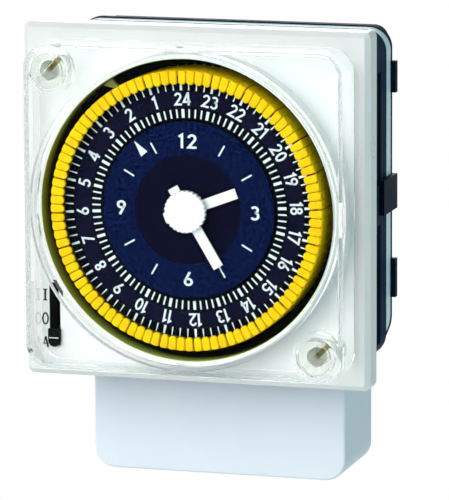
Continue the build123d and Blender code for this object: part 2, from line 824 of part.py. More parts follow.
for hour in range(hours):
    first_turn = tripper_turns[hour * trippers_per_hour]
    last_turn = tripper_turns[(hour + 1) * trippers_per_hour - 1]
    spread = PolarLocations(
        0,
        trippers_per_hour,
        start_angle=plane_turn(first_turn),
        angular_range=first_turn - last_turn,
        endpoint=True,
    )
    # Both ends are trimmed, so that pushed-in groups clear each other
    hour_lines = PolarLocations(
        tripper_outer,
        2,
        start_angle=plane_turn(first_turn + tripper_pitch / 2),
        angular_range=360 / hours,
        endpoint=True,
    )
    with BuildPart() as trippers:
        with BuildSketch(plane_at(lip_back)):
            with spread:
                lip_outline()
            with hour_lines:
                Rectangle(tripper_outer, tripper_hour_gap, mode=Mode.SUBTRACT)
        extrude(amount=tripper_lip_depth)
        lip_fronts = trippers.faces().group_by(Axis.Y)[0]
        chamfer(lip_fronts.edges(), length=tripper_chamfer)
        with BuildSketch(plane_at(stem_back)):
            with spread:
                tripper_outline(tripper_outer - tripper_stem_length)
            with hour_lines:
                Rectangle(tripper_outer, tripper_hour_gap, mode=Mode.SUBTRACT)
        extrude(amount=lip_back - stem_back)
        with BuildSketch(plane_at(catch_front - catch_depth)):
            with spread:
                with Locations((tongue_middle, 0)):
                    Rectangle(tongue_length, catch_width)
        extrude(amount=catch_depth)
        with BuildSketch(plane_at(catch_front)):
            with spread:
                with Locations((tongue_middle, 0)):
                    Rectangle(tongue_length, tongue_width)
        extrude(amount=stem_back - catch_front)
    save(trippers.part, f"trippers_hour_{hour:02d}")

# Minute arbor: runs from the rear frame to the hub, with the minute pinion on it
with BuildPart() as minute_arbor:
    with BuildSketch(plane_at(rear_frame_back)):
        Circle(arbor_radius)
    extrude(amount=hub_back - rear_frame_back)
    with BuildSketch(plane_at(minute_layer)):
        wheel_outline(minute_pinion_teeth, train_module, plane_turn(-90), 0)
    extrude(amount=wheel_thickness)
save(minute_arbor.part, "minute_arbor")

# Centre wheel: pressed on the minute arbor and driven by the motor
with BuildPart() as centre_wheel:
    with BuildSketch(plane_at(centre_layer)):
        wheel_outline(
            centre_wheel_teeth,
            train_module,
            plane_turn(135) + half_tooth(centre_wheel_teeth),
            arbor_radius + seat_clearance,
        )
    extrude(amount=wheel_thickness)
save(centre_wheel.part, "centre_wheel")

# Motion wheel and pinion: one moulding that runs on a stud and gears twelve to one
with BuildPart() as motion_wheel:
    with BuildSketch(plane_at(minute_layer)):
        with Locations(motion_place):
            wheel_outline(
                motion_wheel_teeth,
                train_module,
                plane_turn(90) + half_tooth(motion_wheel_teeth),
                stud_radius + running_clearance,
            )
    extrude(amount=wheel_thickness)
    with BuildSketch(plane_at(minute_layer + wheel_thickness)):
        with Locations(motion_place):
            wheel_outline(
                motion_pinion_teeth, train_module, plane_turn(90), stud_radius + running_clearance
            )
    extrude(amount=layer_pitch)
save(motion_wheel.part, "motion_wheel")

# Motion stud: riveted in the front frame
with BuildPart() as motion_stud:
    with BuildSketch(plane_at(minute_layer)):
        with Locations(motion_place):
            Circle(stud_radius)
    extrude(amount=front_frame_back - minute_layer)
    with BuildSketch(plane_at(front_frame_back - stud_flange_depth)):
        with Locations(motion_place):
            Circle(stud_flange_radius)
    extrude(amount=stud_flange_depth)
save(motion_stud.part, "motion_stud")

# Hour wheel: a wheel on a long tube that carries the hour hand
hour_hand_seat = hour_tube_radius - hour_tube_wall / 2
with BuildPart() as hour_wheel:
    with BuildSketch(plane_at(hour_layer)):
        wheel_outline(
            hour_wheel_teeth, train_module, plane_turn(-90) + half_tooth(hour_wheel_teeth), 0
        )
    extrude(amount=wheel_thickness)
    with BuildSketch(plane_at(hour_layer)):
        Circle(hour_tube_radius)
    extrude(amount=hour_hand_back - hour_layer)
    with BuildSketch(plane_at(hour_hand_back)):
        Circle(hour_hand_seat)
    extrude(amount=hand_depth)
    with BuildSketch(plane_at(hour_layer)):
        Circle(hour_tube_bore)
    extrude(amount=hub_front - hour_layer, mode=Mode.SUBTRACT)
save(hour_wheel.part, "hour_wheel")

# Transfer wheel: one moulding that takes the hour wheel's motion through the frame to the drum
with BuildPart() as transfer_wheel:
    with BuildSketch(plane_at(rear_frame_back)):
        with Locations(transfer_place):
            Circle(transfer_arbor_radius)
    extrude(amount=drum_back + drum_wheel_depth - drum_gap / 4 - rear_frame_back)
    with BuildSketch(plane_at(hour_layer)):
        with Locations(transfer_place):
            wheel_outline(transfer_wheel_teeth, train_module, plane_turn(-135), 0)
    extrude(amount=wheel_thickness)
    with BuildSketch(plane_at(drum_back)):
        with Locations(transfer_place):
            wheel_outline(transfer_pinion_teeth, drum_module, plane_turn(-135), 0)
    extrude(amount=drum_wheel_depth - drum_gap / 4)
save(transfer_wheel.part, "transfer_wheel")

# Hour hand: white bar with an eye and a short tail
with BuildPart() as hour_hand:
    with BuildSketch(plane_at(hour_hand_back)):
        Circle(hand_eye_radius)
        with Locations(Location((0, 0, 0), (0, 0, plane_turn(hour_hand_turn)))):
            with Locations(((hour_hand_reach - hour_hand_tail) / 2, 0)):
                Rectangle(hour_hand_reach + hour_hand_tail, hand_width)
        Circle(hour_hand_seat + seat_clearance, mode=Mode.SUBTRACT)
    extrude(amount=hand_depth)
save(hour_hand.part, "hour_hand")

# Minute hand: longer white bar on the minute arbor
with BuildPart() as minute_hand:
    with BuildSketch(plane_at(minute_hand_back)):
        Circle(hand_eye_radius)
        with Locations(Location((0, 0, 0), (0, 0, plane_turn(minute_hand_turn)))):
            with Locations(((minute_hand_reach - minute_hand_tail) / 2, 0)):
                Rectangle(minute_hand_reach + minute_hand_tail, hand_width)
        Circle(arbor_radius + seat_clearance, mode=Mode.SUBTRACT)
    extrude(amount=hand_depth)
save(minute_hand.part, "minute_hand")

# Hub: notched setting knob on the end of the minute arbor
with BuildPart() as hub:
    with BuildSketch(plane_at(hub_back)):
        Circle(hub_radius)
        with PolarLocations(hub_radius, hub_notches):
            Rectangle(2 * hub_notch_depth, hub_notch_width, mode=Mode.SUBTRACT)
    extrude(amount=hub_depth)
save(hub.part, "setting_hub")

# Motor: synchronous motor can under the rear frame, with a boss through it
with BuildPart() as motor_body:
    with BuildSketch(plane_at(rear_frame_back - motor_depth)):
        with Locations(motor_place):
            Circle(motor_radius)
    extrude(amount=motor_depth)
    with BuildSketch(plane_at(rear_frame_back)):
        with Locations(motor_place):
            Circle(motor_boss_radius)
    extrude(amount=rear_frame_thickness)
    with BuildSketch(plane_at(rear_frame_back - rear_frame_thickness)):
        with Locations(motor_place):
            Circle(motor_shaft_radius + running_clearance)
    extrude(amount=2 * rear_frame_thickness, mode=Mode.SUBTRACT)
save(motor_body.part, "motor_body")

# Motor pinion and its shaft
with BuildPart() as motor_pinion:
    with BuildSketch(plane_at(rear_frame_back - rear_frame_thickness / 2)):
        with Locations(motor_place):
            Circle(motor_shaft_radius)
    extrude(amount=centre_layer - rear_frame_back + rear_frame_thickness / 2)
    with BuildSketch(plane_at(centre_layer)):
        with Locations(motor_place):
            wheel_outline(motor_pinion_teeth, train_module, plane_turn(-45), 0)
    extrude(amount=wheel_thickness)
save(motor_pinion.part, "motor_pinion")

# Microswitch: closed block on the rear frame, with a guide for its plunger
plunger_z = feeler_pivot[1] - feeler_tail
plunger_out = rear_frame_front + switch_depth / 2
with BuildPart() as microswitch:
    with BuildSketch(plane_at(rear_frame_front)):
        with Locations((switch_left, switch_bottom)):
            Rectangle(switch_width, switch_height, align=(Align.MIN, Align.MIN))
    extrude(amount=switch_depth)
    with BuildSketch(plane_at(plunger_out - plunger_depth / 2 - plunger_clearance)):
        with Locations((switch_left, plunger_z)):
            Rectangle(
                plunger_length - plunger_proud + plunger_travel + plunger_clearance,
                plunger_height + 2 * plunger_clearance,
                align=(Align.MIN, Align.CENTER),
            )
    extrude(amount=plunger_depth + 2 * plunger_clearance, mode=Mode.SUBTRACT)
save(microswitch.part, "microswitch")

# Switch plunger: pressed into the microswitch by the feeler's tail
with BuildPart() as switch_plunger:
    with BuildSketch(plane_at(plunger_out - plunger_depth / 2)):
        with Locations((switch_left - plunger_proud, plunger_z)):
            Rectangle(plunger_length, plunger_height, align=(Align.MIN, Align.CENTER))
    extrude(amount=plunger_depth)
save(switch_plunger.part, "switch_plunger")

# Switch feeler: a nose on the trippers, a shaft through the frame and a tail on the plunger
feeler_tail_front = front_frame_back - feeler_room
feeler_tail_back = plunger_out - plunger_depth / 2
feeler_tail_half = switch_left - plunger_proud - plunger_clearance - feeler_pivot[0]
with BuildPart() as switch_feeler:
    with BuildSketch(plane_at(feeler_back)):
        with Locations(feeler_pivot):
            Circle(feeler_arm_width / 2)
        with BuildLine():
            Polyline(
                (feeler_pivot[0], feeler_pivot[1] + feeler_arm_width / 2),
                (nose_root_x, nose_root_z),
                (nose_x + feeler_nose_half_width, nose_z + feeler_nose_half_width),
                (nose_x - feeler_nose_half_width, nose_z + feeler_nose_half_width / 4),
                (nose_root_x - feeler_arm_width, nose_root_z - feeler_arm_width),
                (feeler_pivot[0], feeler_pivot[1] - feeler_arm_width / 2),
                close=True,
            )
        make_face()
    extrude(amount=feeler_depth)
    with BuildSketch(plane_at(feeler_tail_back)):
        with Locations(feeler_pivot):
            Circle(feeler_shaft_radius)
    extrude(amount=feeler_back - feeler_tail_back)
    with BuildSketch(plane_at(feeler_tail_back)):
        with Locations(feeler_pivot):
            Circle(feeler_arm_width / 2)
        with Locations((feeler_pivot[0], plunger_z - plunger_height / 2)):
            Rectangle(
                2 * feeler_tail_half,
                feeler_tail + plunger_height / 2,
                align=(Align.CENTER, Align.MIN),
            )
    extrude(amount=feeler_tail_front - feeler_tail_back)
save(switch_feeler.part, "switch_feeler")

# Manual lever: knob over the plate, a stem through the slot and a bar whose finger swings the feeler
lever_finger = feeler_pivot[0] - feeler_tail_half + plunger_clearance - lever_x
lever_bar_front = front_frame_back - lever_bar_gap
lever_bar_bottom = lever_z - lever_stem_height / 2
with BuildPart() as manual_lever:
    with BuildSketch(plane_at(plate_face + lever_knob_lift)):
        with Locations(Location((lever_x, lever_z, 0), (0, 0, 90))):
            SlotOverall(lever_knob_height, lever_knob_width)
        with Locations((lever_x, lever_z + lever_knob_height / 4)):
            Rectangle(lever_knob_width, lever_knob_height / 2)
    extrude(amount=lever_knob_rise)
    knob_rim = manual_lever.faces().sort_by(Axis.Y)[0].edges()
    fillet(knob_rim, radius=lever_knob_lift * 2)
    with BuildSketch(plane_at(lever_bar_front)):
        with Locations((lever_x, lever_z)):
            Rectangle(lever_stem_width, lever_stem_height)
    extrude(amount=plate_face + lever_knob_lift - lever_bar_front)
    with BuildSketch(plane_at(lever_bar_front - lever_bar_depth)):
        with Locations((lever_x, lever_bar_bottom)):
            Rectangle(
                lever_bar_width, lever_bar_top - lever_bar_bottom, align=(Align.CENTER, Align.MIN)
            )
        with Locations((lever_x, lever_bar_top)):
            Rectangle(lever_finger, lever_finger_height, align=(Align.MIN, Align.MAX))
    extrude(amount=lever_bar_depth)
    finger_end = manual_lever.edges().filter_by(Axis.Y).sort_by(Axis.X)[-2:]
    chamfer(finger_end.sort_by(Axis.Z)[-1], length=lever_finger_chamfer)
save(manual_lever.part, "manual_lever")

# Terminal block: five pockets for clamps, with screws in front and wires from below
block_back = tongue_plate_front
block_front = block_back + block_depth
block_top = -body_height / 2 - block_gap
clamp_bottom = block_bottom + clamp_rise
clamp_middle = clamp_bottom + clamp_height / 2
clamp_back = block_back + clamp_wall + clamp_clearance
clamp_front = clamp_back + clamp_depth
screw_floor = clamp_front + clamp_clearance + clamp_wall
with BuildPart() as terminal_block:
    with BuildSketch(plane_at(block_back)):
        with Locations((0, block_bottom)):
            Rectangle(block_width, block_top - block_bottom, align=(Align.CENTER, Align.MIN))
    extrude(amount=block_depth)
    with BuildSketch(plane_at(clamp_back - clamp_clearance)):
        for terminal_x in terminal_places:
            with Locations((terminal_x, block_bottom)):
                Rectangle(
                    clamp_width + 2 * clamp_clearance,
                    clamp_rise + clamp_height + clamp_clearance,
                    align=(Align.CENTER, Align.MIN),
                )
    extrude(amount=clamp_depth + 2 * clamp_clearance, mode=Mode.SUBTRACT)
    with BuildSketch(plane_at(clamp_front)):
        for terminal_x in terminal_places:
            with Locations((terminal_x, clamp_middle)):
                Circle(terminal_screw_head + screw_clearance)
    extrude(amount=block_depth, mode=Mode.SUBTRACT)
    with BuildSketch(plane_at(strip_out - strip_room)):
        for terminal_x in terminal_places:
            with Locations((terminal_x, block_top)):
                Rectangle(
                    strip_width + 2 * strip_room,
                    block_top - clamp_middle - terminal_screw_head,
                    align=(Align.CENTER, Align.MAX),
                )
    extrude(amount=strip_depth + 2 * strip_room, mode=Mode.SUBTRACT)
save(terminal_block.part, "terminal_block")

# Terminal clamps: five square cages for the wires
with BuildPart() as terminal_clamps:
    with BuildSketch(plane_at(clamp_back)):
        for terminal_x in terminal_places:
            with Locations((terminal_x, clamp_bottom)):
                Rectangle(clamp_width, clamp_height, align=(Align.CENTER, Align.MIN))
    extrude(amount=clamp_depth)
    with BuildSketch(plane_at(clamp_back + clamp_wall)):
        for terminal_x in terminal_places:
            with Locations((terminal_x, clamp_middle)):
                Rectangle(clamp_width - 2 * clamp_wall, 2 * clamp_height)
    extrude(amount=clamp_depth - 2 * clamp_wall, mode=Mode.SUBTRACT)
    with BuildSketch(plane_at(clamp_front - clamp_wall)):
        for terminal_x in terminal_places:
            with Locations((terminal_x, clamp_middle)):
                Circle(terminal_screw_radius + seat_clearance)
    extrude(amount=clamp_wall, mode=Mode.SUBTRACT)
save(terminal_clamps.part, "terminal_clamps")

# Terminal screws: five slotted heads behind the terminal cover
terminal_screw_back = clamp_front - 2 * clamp_wall
with BuildPart() as terminal_screws:
    with BuildSketch(plane_at(terminal_screw_back)):
        for terminal_x in terminal_places:
            with Locations((terminal_x, clamp_middle)):
                Circle(terminal_screw_radius)
    extrude(amount=screw_floor - terminal_screw_back)
    with BuildSketch(plane_at(screw_floor)):
        for terminal_x in terminal_places:
            with Locations((terminal_x, clamp_middle)):
                Circle(terminal_screw_head)
    extrude(amount=terminal_screw_head_depth)
    with BuildSketch(plane_at(screw_floor + terminal_screw_head_depth - terminal_screw_recess)):
        for terminal_x in terminal_places:
            with Locations((terminal_x, clamp_middle)):
                Rectangle(2.4 * terminal_screw_head, terminal_screw_recess)
    extrude(amount=terminal_screw_recess, mode=Mode.SUBTRACT)
save(terminal_screws.part, "terminal_screws")

# Conductor strips: three from the switch, two from the motor, down to the terminals
strip_foot = clamp_middle + terminal_screw_head + strip_room
with BuildPart() as conductor_strips:
    for (tab_x, tab_z), turn_z, terminal_x in zip(switch_tabs, strip_turns, terminal_places):
        with BuildSketch(plane_at(strip_out)):
            with Locations((tab_x, turn_z - strip_width / 2)):
                Rectangle(
                    strip_width,
                    tab_z - turn_z + strip_width,
                    align=(Align.CENTER, Align.MIN),
                )
            with Locations(((tab_x + terminal_x) / 2, turn_z)):
                Rectangle(abs(terminal_x - tab_x) + strip_width, strip_width)
            with Locations((terminal_x, turn_z + strip_width / 2)):
                Rectangle(
                    strip_width,
                    turn_z - strip_foot + strip_width / 2,
                    align=(Align.CENTER, Align.MAX),
                )
        extrude(amount=strip_depth)
        with BuildSketch(plane_at(strip_out)):
            with Locations((tab_x, tab_z)):
                Rectangle(strip_width, strip_width)
        extrude(amount=rear_frame_front - strip_out)
    for terminal_x in terminal_places[len(switch_tabs):]:
        side_reach = abs(terminal_x - motor_place[0]) + strip_width / 2
        strip_top = motor_place[1] - sqrt(motor_radius**2 - side_reach**2) - seat_clearance
        near_reach = max(side_reach - strip_width, 0)
        strip_top = min(
            strip_top, motor_place[1] - sqrt(motor_radius**2 - near_reach**2) - seat_clearance
        )
        with BuildSketch(plane_at(strip_out)):
            with Locations((terminal_x, strip_top)):
                Rectangle(
                    strip_width, strip_top - strip_foot, align=(Align.CENTER, Align.MAX)
                )
        extrude(amount=strip_depth)
save(conductor_strips.part, "conductor_strips")

# Terminal cover: a smooth hood over the terminals, open behind and above, with a cable gap below
hood_top = -flange_height / 2 - terminal_cover_gap
hood_height = hood_top - terminal_cover_bottom
with BuildPart() as terminal_cover:
    with BuildSketch(plane_at(base_back)):
        with Locations((0, terminal_cover_bottom)):
            Rectangle(terminal_cover_width, hood_height, align=(Align.CENTER, Align.MIN))
    extrude(amount=terminal_cover_front - base_back)
    lower_corners = terminal_cover.edges().filter_by(Axis.Y).group_by(Axis.Z)[0]
    fillet(lower_corners, radius=terminal_cover_corner)
    front_outline = terminal_cover.faces().sort_by(Axis.Y)[0].edges()
    top_edge = front_outline.sort_by(Axis.Z)[-1]
    fillet([edge for edge in front_outline if edge != top_edge], radius=terminal_cover_edge)
    with BuildSketch(plane_at(base_back)) as hood_inside:
        with Locations((0, terminal_cover_bottom + terminal_cover_wall)):
            Rectangle(
                terminal_cover_width - 2 * terminal_cover_wall,
                hood_height,
                align=(Align.CENTER, Align.MIN),
            )
        fillet(hood_inside.vertices().group_by(Axis.Y)[0], radius=hood_inner_corner)
    extrude(amount=terminal_cover_front - terminal_cover_wall - base_back, mode=Mode.SUBTRACT)
    with BuildSketch(plane_at(cable_gap_back)):
        with Locations((0, terminal_cover_bottom)):
            Rectangle(cable_gap_width, 2 * terminal_cover_wall + terminal_cover_corner)
    extrude(amount=cable_gap_depth, mode=Mode.SUBTRACT)
    with BuildSketch(plane_at(base_back)):
        with Locations((0, terminal_cover_bottom)):
            Rectangle(latch_width + 2 * latch_clearance, 4 * terminal_cover_wall)
    extrude(amount=latch_set_in + latch_depth + latch_clearance, mode=Mode.SUBTRACT)
save(terminal_cover.part, "terminal_cover")
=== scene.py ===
from math import cos, hypot, radians, sin

import bmesh
import bpy
from mathutils import Matrix, Vector


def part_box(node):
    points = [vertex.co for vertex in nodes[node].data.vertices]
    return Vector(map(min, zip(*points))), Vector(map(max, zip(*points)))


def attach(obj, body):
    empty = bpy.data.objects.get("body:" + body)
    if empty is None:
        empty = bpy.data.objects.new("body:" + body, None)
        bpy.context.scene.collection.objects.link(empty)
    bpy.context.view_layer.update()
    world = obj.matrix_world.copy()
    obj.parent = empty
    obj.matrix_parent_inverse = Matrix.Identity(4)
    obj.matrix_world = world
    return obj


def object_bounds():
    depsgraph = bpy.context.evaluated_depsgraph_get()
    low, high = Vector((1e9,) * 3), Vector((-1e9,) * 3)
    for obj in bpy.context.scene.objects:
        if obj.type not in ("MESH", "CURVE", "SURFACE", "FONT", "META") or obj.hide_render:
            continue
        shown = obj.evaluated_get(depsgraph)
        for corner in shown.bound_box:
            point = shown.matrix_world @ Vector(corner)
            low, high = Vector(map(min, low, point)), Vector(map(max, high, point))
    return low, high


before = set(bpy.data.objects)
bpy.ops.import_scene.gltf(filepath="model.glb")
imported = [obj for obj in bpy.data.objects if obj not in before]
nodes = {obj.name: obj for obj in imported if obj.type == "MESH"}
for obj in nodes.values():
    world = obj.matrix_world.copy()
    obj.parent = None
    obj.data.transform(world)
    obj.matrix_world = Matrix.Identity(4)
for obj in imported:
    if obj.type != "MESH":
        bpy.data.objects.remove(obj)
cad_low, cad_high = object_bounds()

# Back base and rail latch: the black foot of the time switch, which hooks over a mounting rail.
# Both are injection moulded in glass filled nylon, so their skin is dull, with a fine grain.
# The latch is a separate tongue that slides in the base and springs under the rail's lower edge.
foot_black = (0.004, 0.009, 0.020)
foot_bloom = (0.008, 0.016, 0.031)
patch_detail, patch_roughness = 5, 0.62
sheen_edge = (0.3, 0.7)
grain_detail, grain_depth = 3, 0.00004


def node_of(tree, kind, place, **settings):
    """Adds one shader node at a place on a skin's sheet."""
    made = tree.nodes.new("ShaderNode" + kind)
    made.location = place
    for key, value in settings.items():
        setattr(made, key, value)
    return made


def cloud(tree, place, scale, detail=2.0, roughness=0.5):
    """Noise that is fixed to the piece, so that its marks move with the piece."""
    spot = node_of(tree, "TexCoord", (place[0] - 220, place[1]))
    made = node_of(tree, "TexNoise", place)
    for socket, value in (("Scale", scale), ("Detail", detail), ("Roughness", roughness)):
        made.inputs[socket].default_value = value
    tree.links.new(spot.outputs["Object"], made.inputs["Vector"])
    return made.outputs["Fac"]


def grade(tree, place, value, low, high, start=0.0, end=1.0, **settings):
    """Turns a value that runs from low to high into one that runs from start to end."""
    made = node_of(tree, "MapRange", place, **settings)
    limits = {"From Min": low, "From Max": high, "To Min": start, "To Max": end}
    for socket, limit in limits.items():
        made.inputs[socket].default_value = limit
    tree.links.new(value, made.inputs["Value"])
    return made.outputs["Result"]


def blank_skin(name):
    """A new skin, with its sheet of nodes and the plastic shader on it."""
    skin = bpy.data.materials.new(name)
    skin.use_nodes = True
    return skin, skin.node_tree, skin.node_tree.nodes["Principled BSDF"]


def roughen(tree, height, strength, depth):
    """Shades the skin as if a height stood out of it by up to a depth."""
    relief = node_of(tree, "Bump", (-420, -240))
    relief.inputs["Strength"].default_value = strength
    relief.inputs["Distance"].default_value = depth
    tree.links.new(height, relief.inputs["Height"])
    tree.links.new(relief.outputs["Normal"], tree.nodes["Principled BSDF"].inputs["Normal"])


def moulded(
    name, colour, bloom, gloss=(0.34, 0.48), grain=0.10, grain_size=5200,
    patch_size=160, patch_edge=(0.32, 0.72), shine=0.3,
):
    """A moulded skin: two close colours in soft patches, uneven gloss and a fine mould grain."""
    skin, tree, plastic = blank_skin(name)
    plastic.inputs["Specular IOR Level"].default_value = shine
    patches = cloud(tree, (-880, 240), patch_size, patch_detail, patch_roughness)
    tint = node_of(tree, "Mix", (-420, 260), data_type="RGBA")
    tint.inputs["A"].default_value = (*colour, 1)
    tint.inputs["B"].default_value = (*bloom, 1)
    spread = grade(tree, (-640, 260), patches, *patch_edge)
    sheen = grade(tree, (-640, 0), patches, *sheen_edge, *gloss)
    tree.links.new(spread, tint.inputs["Factor"])
    tree.links.new(tint.outputs["Result"], plastic.inputs["Base Color"])
    tree.links.new(sheen, plastic.inputs["Roughness"])
    roughen(tree, cloud(tree, (-880, -240), grain_size, grain_detail), grain, grain_depth)
    return skin


def dress(skin, *names):
    """Puts a skin on CAD pieces in place of their plain one."""
    for name in names:
        mesh = nodes[name].data
        mesh.materials.clear()
        mesh.materials.append(skin)


foot_skin = moulded(
    "foot_black_nylon", foot_black, foot_bloom, gloss=(0.42, 0.58), grain=0.22, shine=0.012
)
dress(foot_skin, "back_base", "rail_latch")

# Rear housing: the pale grey tray between foot and movement case, a light strip at the side.
# It is moulded in flame retardant plastic and is held between the two dark mouldings.
housing_grey = (0.68, 0.91, 0.96)
housing_bloom = (0.72, 0.93, 0.97)
housing_skin = moulded(
    "housing_grey_plastic", housing_grey, housing_bloom, grain=0.12, shine=0.08
)
dress(housing_skin, "rear_housing")

# Movement case: the dark blue box behind the front plate that closes round the clockwork.
# It is a satin moulding with four bosses, which carry the movement and the case screws.
case_navy = (0.007, 0.022, 0.048)
case_bloom = (0.012, 0.033, 0.066)
case_skin = moulded(
    "case_navy_plastic", case_navy, case_bloom, gloss=(0.36, 0.5), grain=0.14, shine=0.003
)
dress(case_skin, "movement_case")

# Steel hardware: screws, motion stud, minute arbor, motor can and pinion.
# They are drawn or turned in bright steel, with fine tool marks and a shine dulled by handling.
steel_bright = (0.58, 0.59, 0.60)
steel_dull = (0.44, 0.45, 0.46)


def metal(name, bright, dull, gloss=(0.22, 0.38)):
    """A bare metal skin: clouded colour, uneven shine and fine tool marks."""
    skin = moulded(name, bright, dull, gloss=gloss, grain=0.08, grain_size=2400, patch_size=320)
    skin.node_tree.nodes["Principled BSDF"].inputs["Metallic"].default_value = 1.0
    return skin


steel_skin = metal("turned_steel", steel_bright, steel_dull)
dress(steel_skin, "case_screws", "terminal_screws", "motion_stud", "minute_arbor")
dress(steel_skin, "motor_pinion", "motor_body")

# Brass clockwork: the two movement frames, pillars, wheels, tubes, clamps and conductor strips.
# All are stamped or turned from sheet and rod, and their satin finish tarnishes in patches.
# The front frame lies at the bottom of the dial well, so it is painted black as painted shade and
# does not show.
brass_bright = (0.72, 0.52, 0.22)
brass_dull = (0.56, 0.39, 0.16)
# Painted shade: black on the front frame stands for the shadow deep in the gap round the drum.
frame_shade_black = (0.006, 0.006, 0.006)
frame_shade_bloom = (0.012, 0.011, 0.010)
brass_skin = metal("satin_brass", brass_bright, brass_dull, gloss=(0.26, 0.42))
dress(brass_skin, "rear_frame", "frame_pillars", "centre_tube", "centre_wheel", "hour_wheel")
dress(brass_skin, "terminal_clamps", "conductor_strips")
frame_shade_skin = moulded(
    "frame_painted_shade_black", frame_shade_black, frame_shade_bloom, gloss=(0.5, 0.65), shine=0.05
)
dress(frame_shade_skin, "front_frame")

# Acetal wheels: the motion wheel and the transfer wheel, both milky white.
# They are moulded each in one with its pinion, run dry in the train and are never painted.
acetal_white = (0.72, 0.74, 0.70)
acetal_bloom = (0.80, 0.81, 0.78)
acetal_skin = moulded(
    "acetal_wheel_white", acetal_white, acetal_bloom, gloss=(0.28, 0.4), grain=0.05
)
dress(acetal_skin, "motion_wheel", "transfer_wheel")

# Microswitch and terminal block: a black block with its plunger, and a grey one for the clamps.
# Both are hard thermoset mouldings with a dry, matt face.
switch_black = (0.012, 0.013, 0.015)
switch_bloom = (0.022, 0.023, 0.026)
block_grey = (0.30, 0.36, 0.38)
block_bloom = (0.37, 0.43, 0.45)
thermoset_gloss = (0.45, 0.6)
switch_skin = moulded(
    "switch_black_thermoset", switch_black, switch_bloom, gloss=thermoset_gloss
)
dress(switch_skin, "microswitch", "switch_plunger")
block_skin = moulded(
    "terminal_grey_thermoset", block_grey, block_bloom, gloss=thermoset_gloss, grain=0.16
)
dress(block_skin, "terminal_block")

# Switch feeler: the small pawl whose nose rides on the trippers, at the upper left of the dial.
# It is moulded in pale yellowish acetal, given a stronger yellow green as painted bounce light off
# the trippers, and its shaft passes through the front frame.
# Partly painted light: the yellow green is the acetal's pale tint plus light bounced off the
# yellow trippers.
feeler_straw_and_bounce = (0.80, 0.92, 0.24)
feeler_bloom = (0.86, 0.95, 0.34)
feeler_skin = moulded(
    "feeler_straw_acetal", feeler_straw_and_bounce, feeler_bloom, gloss=(0.3, 0.42), grain=0.05
)
dress(feeler_skin, "switch_feeler")

# Front plate: the square white face, with the round well for the dial and a collar about it.
# It is a glossy moulding with a bevelled edge, held by four screws through the case from behind.
# The well's wall gets painted olive bounce light from the trippers and painted shadow further in,
# and the lever's slot painted shade.
plate_white = (0.86, 0.88, 0.87)
plate_bloom = (0.90, 0.92, 0.91)
plate_out, collar_out = 0.03075, 0.03615
well_radius = 0.03044
well_paint_full, well_paint_end = well_radius + 0.00006, well_radius + 0.00012
# Painted light in the well: olive stands for yellow light bounced off the trippers, black for
# painted shadow deep down.
well_lip_bounce_olive = (0.44, 0.57, 0.12)
well_deep_bounce_olive = (0.14, 0.20, 0.03)
well_painted_shadow = (0.008, 0.010, 0.010)
well_shadow_share, well_deep_bounce_share = 0.16, 0.34
slot_x, slot_low, slot_high = -0.02975, -0.0299, -0.0167
slot_half = 0.00115
slot_side_margin, slot_end_margin, slot_lip_margin = 0.00006, 0.0004, 0.00008
# Painted shade for the walls of the lever's slot.
slot_painted_shade = (0.030, 0.046, 0.043)
plate_skin = moulded(
    "plate_white_plastic", plate_white, plate_bloom,
    gloss=(0.26, 0.36), grain=0.03, patch_size=90, shine=0.06,
)


def spot_axes(tree, place):
    """The X, Y and Z of a point on the piece, from the dial's axis and the rail seat."""
    spot = node_of(tree, "TexCoord", place)
    axes = node_of(tree, "SeparateXYZ", (place[0] + 180, place[1]))
    tree.links.new(spot.outputs["Object"], axes.inputs["Vector"])
    return axes.outputs


def axis_radius(tree, place):
    """How far a point on the piece lies from the dial's axis."""
    axes = spot_axes(tree, place)
    flat = node_of(tree, "CombineXYZ", (place[0] + 360, place[1]))
    radius = node_of(tree, "VectorMath", (place[0] + 540, place[1]), operation="LENGTH")
    tree.links.new(axes["X"], flat.inputs["X"])
    tree.links.new(axes["Z"], flat.inputs["Y"])
    tree.links.new(flat.outputs["Vector"], radius.inputs[0])
    return radius.outputs["Value"]


def feed(tree, term, socket):
    """Gives a socket a plain value, or joins another socket to it."""
    if isinstance(term, bpy.types.NodeSocket):
        tree.links.new(term, socket)
    else:
        socket.default_value = term


def worked(tree, operation, place, *terms):
    """The result of one sum on sockets and plain numbers."""
    made = node_of(tree, "Math", place, operation=operation)
    for term, socket in zip(terms, made.inputs):
        feed(tree, term, socket)
    return made.outputs["Value"]


def paint_over(skin, place, mask, colour):
    """Lays another colour over the skin's own wherever the mask is one."""
    tree = skin.node_tree
    base = tree.nodes["Principled BSDF"].inputs["Base Color"]
    under = base.links[0].from_socket
    paint = node_of(tree, "Mix", place, data_type="RGBA")
    tree.links.new(mask, paint.inputs["Factor"])
    tree.links.new(under, paint.inputs["A"])
    feed(tree, colour, paint.inputs["B"])
    tree.links.new(paint.outputs["Result"], base)


def paint_well(skin):
    """Paints the wall of the dial well from the collar's lip inwards with bounce light off the
    trippers, then shadow.
    """
    tree = skin.node_tree
    radius = axis_radius(tree, (-1300, 700))
    inside = grade(tree, (-580, 700), radius, well_paint_end, well_paint_full)
    out = spot_axes(tree, (-1300, 980))["Y"]
    rise = grade(tree, (-760, 980), out, -plate_out, -collar_out)
    shades = node_of(tree, "ValToRGB", (-580, 980))
    stops = shades.color_ramp.elements
    stops[0].position, stops[1].position = 0.0, 1.0
    stops[0].color = (*well_painted_shadow, 1)
    stops[1].color = (*well_lip_bounce_olive, 1)
    stops.new(well_shadow_share).color = (*well_painted_shadow, 1)
    stops.new(well_deep_bounce_share).color = (*well_deep_bounce_olive, 1)
    tree.links.new(rise, shades.inputs["Fac"])
    paint_over(skin, (-200, 600), inside, shades.outputs["Color"])


